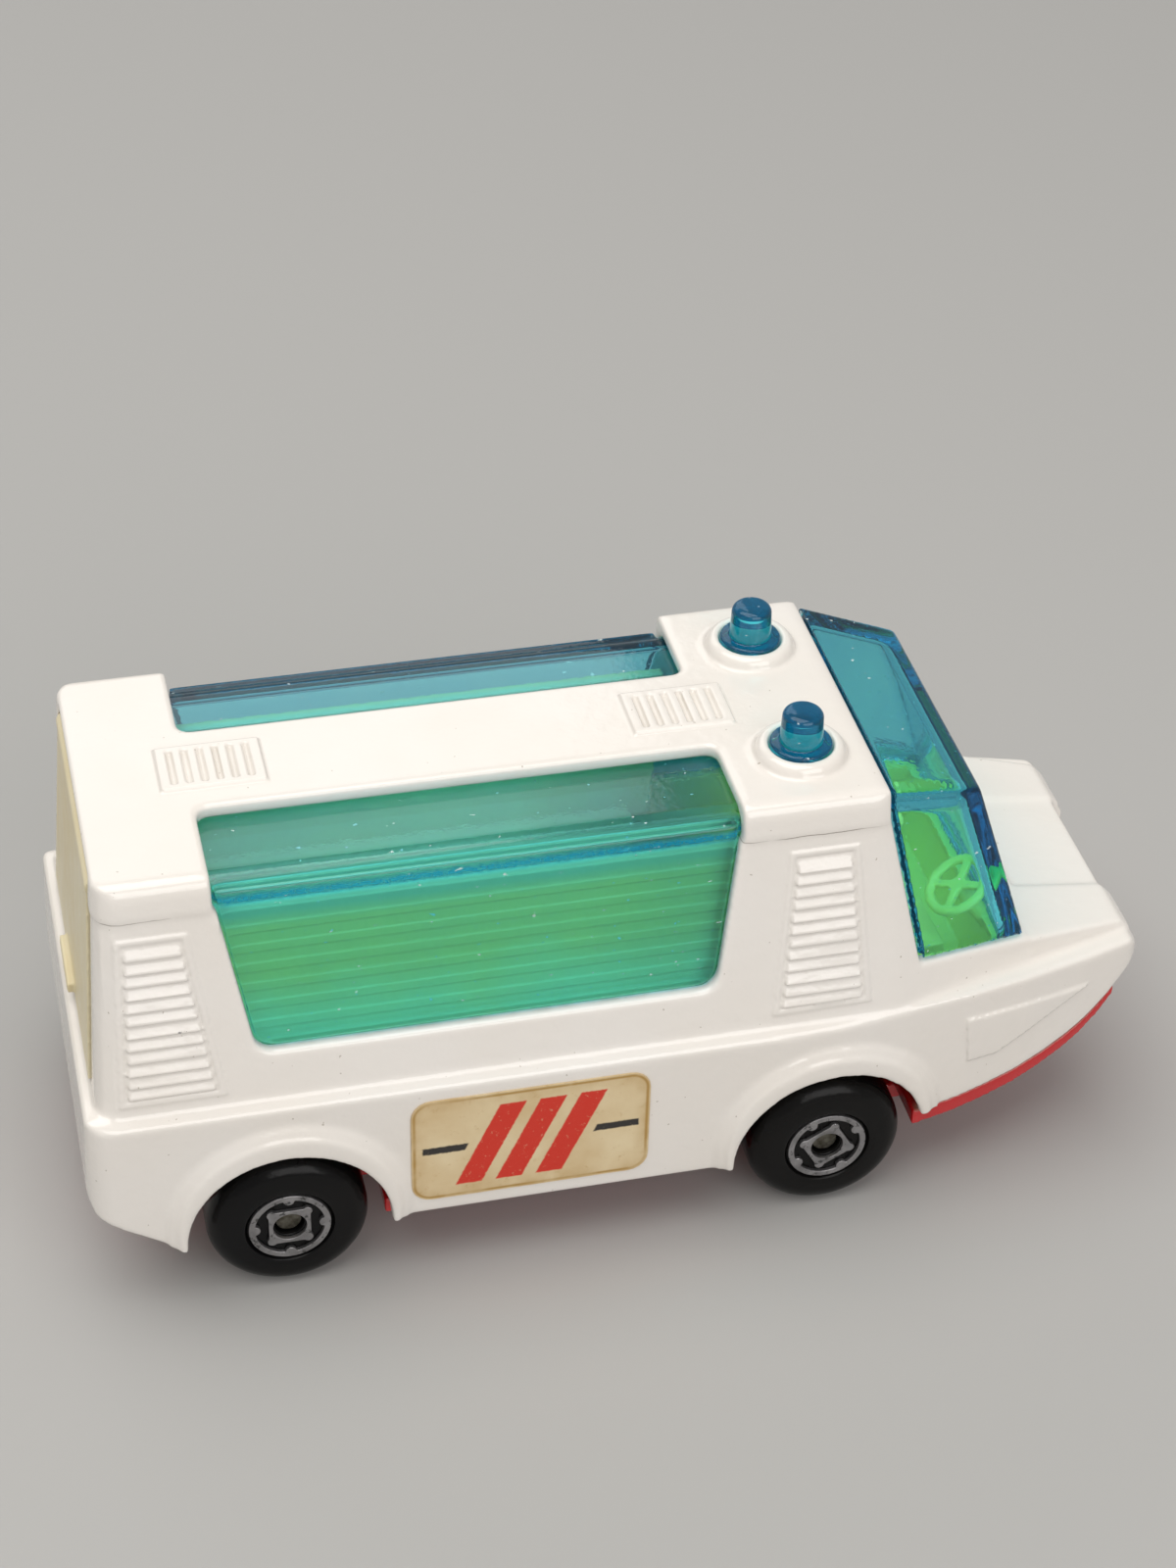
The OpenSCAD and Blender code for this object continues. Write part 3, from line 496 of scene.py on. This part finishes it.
def softened(cad_node, voxel, rounds, most, more_rounds=0, keep=None, shape=None):
    """A copy of a node's mesh, in metres, with the soft edges that paint or a mould gives it.

    shape(points, normals) may move the points, in millimetres, between the two rounds of smoothing.
    """
    mesh = nodes[cad_node].data.copy()
    mesh.transform(Matrix.Scale(1 / MM, 4))
    work = bpy.data.objects.new("work", mesh)
    scene.collection.objects.link(work)
    remesh = work.modifiers.new("remesh", "REMESH")
    remesh.mode = "VOXEL"
    remesh.voxel_size = voxel
    mesh = smoothed(applied(work), rounds)
    if shape:
        count = len(mesh.vertices)
        points, normals = np.empty(3 * count, np.float32), np.empty(3 * count, np.float32)
        mesh.vertices.foreach_get("co", points)
        mesh.vertex_normals.foreach_get("vector", normals)
        mesh.vertices.foreach_set("co", shape(points.reshape(-1, 3), normals.reshape(-1, 3)).ravel())
        mesh.update()
    if more_rounds:
        mesh = smoothed(mesh, more_rounds, keep)
    triangles = 2 * len(mesh.polygons)
    if triangles > most:
        work = bpy.data.objects.new("work", mesh)
        scene.collection.objects.link(work)
        work.modifiers.new("decimate", "DECIMATE").ratio = most / triangles
        mesh = applied(work)
    mesh.transform(Matrix.Scale(MM, 4))
    mesh.shade_smooth()
    return mesh


def fine_relief(points):
    """Points of the louvre panels, roof grilles and nose panels, which keep their crisp lines."""
    x, y, z = points[:, 0], np.abs(points[:, 1]), points[:, 2]
    rear = (x > -32.8) & (x < -25.6)
    front = (x > 8.4) & (x < 15.5)
    louvres = (rear | front) & (y > 9) & (z > 16.5) & (z < 28.6)
    grilles = (z > 31.4) & (y < 2.5) & (((x > -28) & (x < -20.9)) | ((x > 1.7) & (x < 8.8)))
    panels = (x > 21.6) & (z > 9.9 + 0.52 * np.maximum(x - 24.5, 0)) & (z < 14.2) & (y > 8)
    return louvres | grilles | panels


def thin_cab(points, normals):
    """The cab's panes brought to a thin sheet: each inner face moves straight out."""
    middle = np.array((16, 0, 20), np.float32)
    inward = np.sum(normals * (points - middle), axis=1) < 0
    moved = 0.45
    pillar = 16.2 + 2.4 * (29.6 - points[:, 2]) / 10.9
    ahead = np.clip((points[:, 0] - pillar + 0.9) / 0.6, 0, 1)
    above_sill = np.clip((points[:, 2] - 17.2) / 0.5, 0, 1)
    share = ahead * above_sill
    sides_screen_roof = ((0.295, 1, 0.21), (0.295, -1, 0.21), (1, 0, 0.319), (0.14, 0, 1))
    ways = np.array([Vector(way).normalized() for way in sides_screen_roof], np.float32)
    nearest = ways[np.argmax(-normals @ ways.T, axis=1)]
    return points + nearest * (moved * share * inward)[:, None]


def shallow_ribs(points, normals):
    """The ribs of the side linings worn down to faint lines."""
    x, y, z = points[:, 0], np.abs(points[:, 1]), points[:, 2]
    lining = (x > -29.5) & (x < 7) & (z > 17.5) & (z < 28.2)
    face = LEDGE_HALF - SIDE_LEAN * (z - LEDGE_TOP) - LINING_DEPTH * math.hypot(1, SIDE_LEAN)
    rib_left = 0.06
    limit = np.where(lining, face + rib_left, y)
    points[:, 1] = np.copysign(np.minimum(y, limit), points[:, 1])
    return points


def rounded(points, radii, steps=6):
    """An outline with a radius at each corner."""
    out = []
    count = len(points)
    for i, radius in enumerate(radii):
        corner = Vector(points[i])
        if not radius:
            out.append(corner)
            continue
        before = (Vector(points[i - 1]) - corner).normalized()
        after = (Vector(points[(i + 1) % count]) - corner).normalized()
        half = before.angle(after) / 2
        centre = corner + (before + after).normalized() * radius / math.sin(half)
        start = corner + before * radius / math.tan(half) - centre
        sweep = math.copysign(math.pi - 2 * half, before.y * after.x - before.x * after.y)
        for k in range(steps + 1):
            out.append(centre + Matrix.Rotation(sweep * k / steps, 2) @ start)
    return out


def lathe(outline, segments, place, sharp=40):
    """A closed (radius, height) outline in millimetres, turned about an axis and put in its place."""
    work = bmesh.new()
    rings = []
    for radius, height in outline:
        if radius < 1e-6:
            rings.append([work.verts.new((0, 0, height))])
        else:
            turn = [2 * math.pi * k / segments for k in range(segments)]
            ring = [(radius * math.cos(a), radius * math.sin(a), height) for a in turn]
            rings.append([work.verts.new(spot) for spot in ring])
    for a, b in zip(rings, rings[1:] + rings[:1]):
        for k in range(segments):
            n = (k + 1) % segments
            if len(a) == 1 and len(b) == 1:
                break
            if len(a) == 1:
                work.faces.new((a[0], b[n], b[k]))
            elif len(b) == 1:
                work.faces.new((a[k], a[n], b[0]))
            else:
                work.faces.new((a[k], a[n], b[n], b[k]))
    bmesh.ops.recalc_face_normals(work, faces=work.faces)
    mesh = bpy.data.meshes.new("lathe")
    work.to_mesh(mesh)
    work.free()
    mesh.transform(Matrix.Scale(MM, 4) @ place)
    mesh.shade_smooth()
    mesh.set_sharp_from_angle(angle=math.radians(sharp))
    return mesh


def beacon_outline():
    """Half section of a beacon lens: a dome on a flange."""
    flange, dome, foot, step, top = 1.98, 1.38, 30.61, 32.61, 34.9
    return rounded(
        [(0, top), (dome - 0.1, top), (dome, step), (flange, step), (flange, foot), (0, foot)],
        [0, 0.5, 0.12, 0.2, 0.05, 0],
    )


def tyre_outline():
    """Half section of a wheel: back, tread with round shoulders, sunk hub face and the bore."""
    wide, face = WHEEL_RADIUS, WHEEL_WIDTH
    bore, socket, sunk, stop = 0.55, 0.95, face - 0.35, face - 1.2
    return rounded(
        [
            (bore, 0.3), (2.2, 0.3), (2.4, 0), (wide, 0), (wide, face - 0.1), (3.3, face), (2.9, face),
            (2.75, sunk), (socket, sunk), (socket, stop), (bore, stop),
        ],
        [0, 0.1, 0.1, 0.7, 1.4, 0.1, 0.12, 0.1, 0.1, 0.05, 0],
    )


def refinish(name, material):
    """A CAD node that stays as it is, in its own material."""
    nodes[name].data.materials.clear()
    nodes[name].data.materials.append(material)


add_camera()
add_stage()

white = enamel(
    "white_enamel", (0.87, 0.83, 0.785, 1), (0.85, 0.80, 0.74, 1), (0.25, 0.24, 0.23, 1), seam=SEAM_HEIGHT
)
red = enamel("red_enamel", (0.64, 0.012, 0.016, 1), (0.55, 0.01, 0.014, 1), (0.3, 0.28, 0.27, 1))
blue = clear_plastic(
    "blue_clear", (0.06, 0.86, 0.93, 1), 650, 0.02, (0.9, 0.975, 1.0, 1), 0.06, band=PANE_BEND
)
beacon_blue = clear_plastic("beacon_clear", (0.03, 0.80, 0.90, 1), 320, 0.03, (0.22, 0.95, 1.0, 1), 0.1)
yellow = cabin_plastic("yellow_moulding")
cream = moulding("cream_moulding", (0.82, 0.74, 0.52, 1), (0.78, 0.67, 0.42, 1), 0.35, 0.3)
dark = moulding("dark_moulding", (0.03, 0.03, 0.03, 1), (0.02, 0.02, 0.02, 1), 0.45, 0.3)
black = moulding("black_gloss", (0.004, 0.004, 0.0045, 1), (0.006, 0.0055, 0.005, 1), 0.2, 0.5)
black.node_tree.nodes["Principled BSDF"].inputs["Specular IOR Level"].default_value = 0.17
steel = bare_metal("dull_steel", (0.19, 0.18, 0.15, 1), (0.07, 0.062, 0.045, 1), 0.42)
foil = worn_foil("worn_foil")

shell = softened(
    "body_shell", 0.11, rounds=2, most=195000,
    more_rounds=44, keep=fine_relief,
)
put("shell", shell, "chassis", ["body_shell"], white)
base = softened("baseplate", 0.12, rounds=5, most=120000)
put("base", base, "chassis", ["baseplate"], red)
panes = softened("glazing", 0.13, rounds=4, most=195000, more_rounds=20, shape=thin_cab)
put("panes", panes, "chassis", ["glazing"], blue)
cabin = softened("interior", 0.1, rounds=0, most=190000, more_rounds=1, shape=shallow_ribs)
put("cabin", cabin, "chassis", ["interior"], yellow)
tail_door = softened("rear_door", 0.1, rounds=3, most=60000)
put("tail_door", tail_door, "door", ["rear_door"], cream)

for side, way in SIDES:
    lens = lathe(beacon_outline(), 96, Matrix.Translation((BEACON_X, BEACON_Y * way, 0)))
    put(f"beacon_lens_{side}", lens, "chassis", [f"beacon_{side}"], beacon_blue)
    outward = Matrix.Rotation(math.radians(-90 * way), 4, "X")
    for end, axle_x in AXLES:
        body = f"wheel_{end}_{side}_set"
        place = Matrix.Translation((axle_x, WHEEL_INNER * way, WHEEL_RADIUS)) @ outward
        tyre = lathe(tyre_outline(), 128, place)
        put(f"tyre_{end}_{side}", tyre, body, [f"wheel_{end}_{side}"], black)
        hub = softened(f"foil_{end}_{side}", 0.035, rounds=3, most=40000)
        put(f"hub_{end}_{side}", hub, body, [f"foil_{end}_{side}"], foil)
    low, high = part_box(f"label_{side}")
    refinish(f"label_{side}", aged_label(f"label_{side}_paper", (low + high) / 2 / MM, way))

for name in ("front_axle", "rear_axle", "rivets"):
    refinish(name, steel)
for name in ("front_clip", "rear_clip"):
    refinish(name, dark)

scene.view_settings.view_transform = "Standard"

low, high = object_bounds()
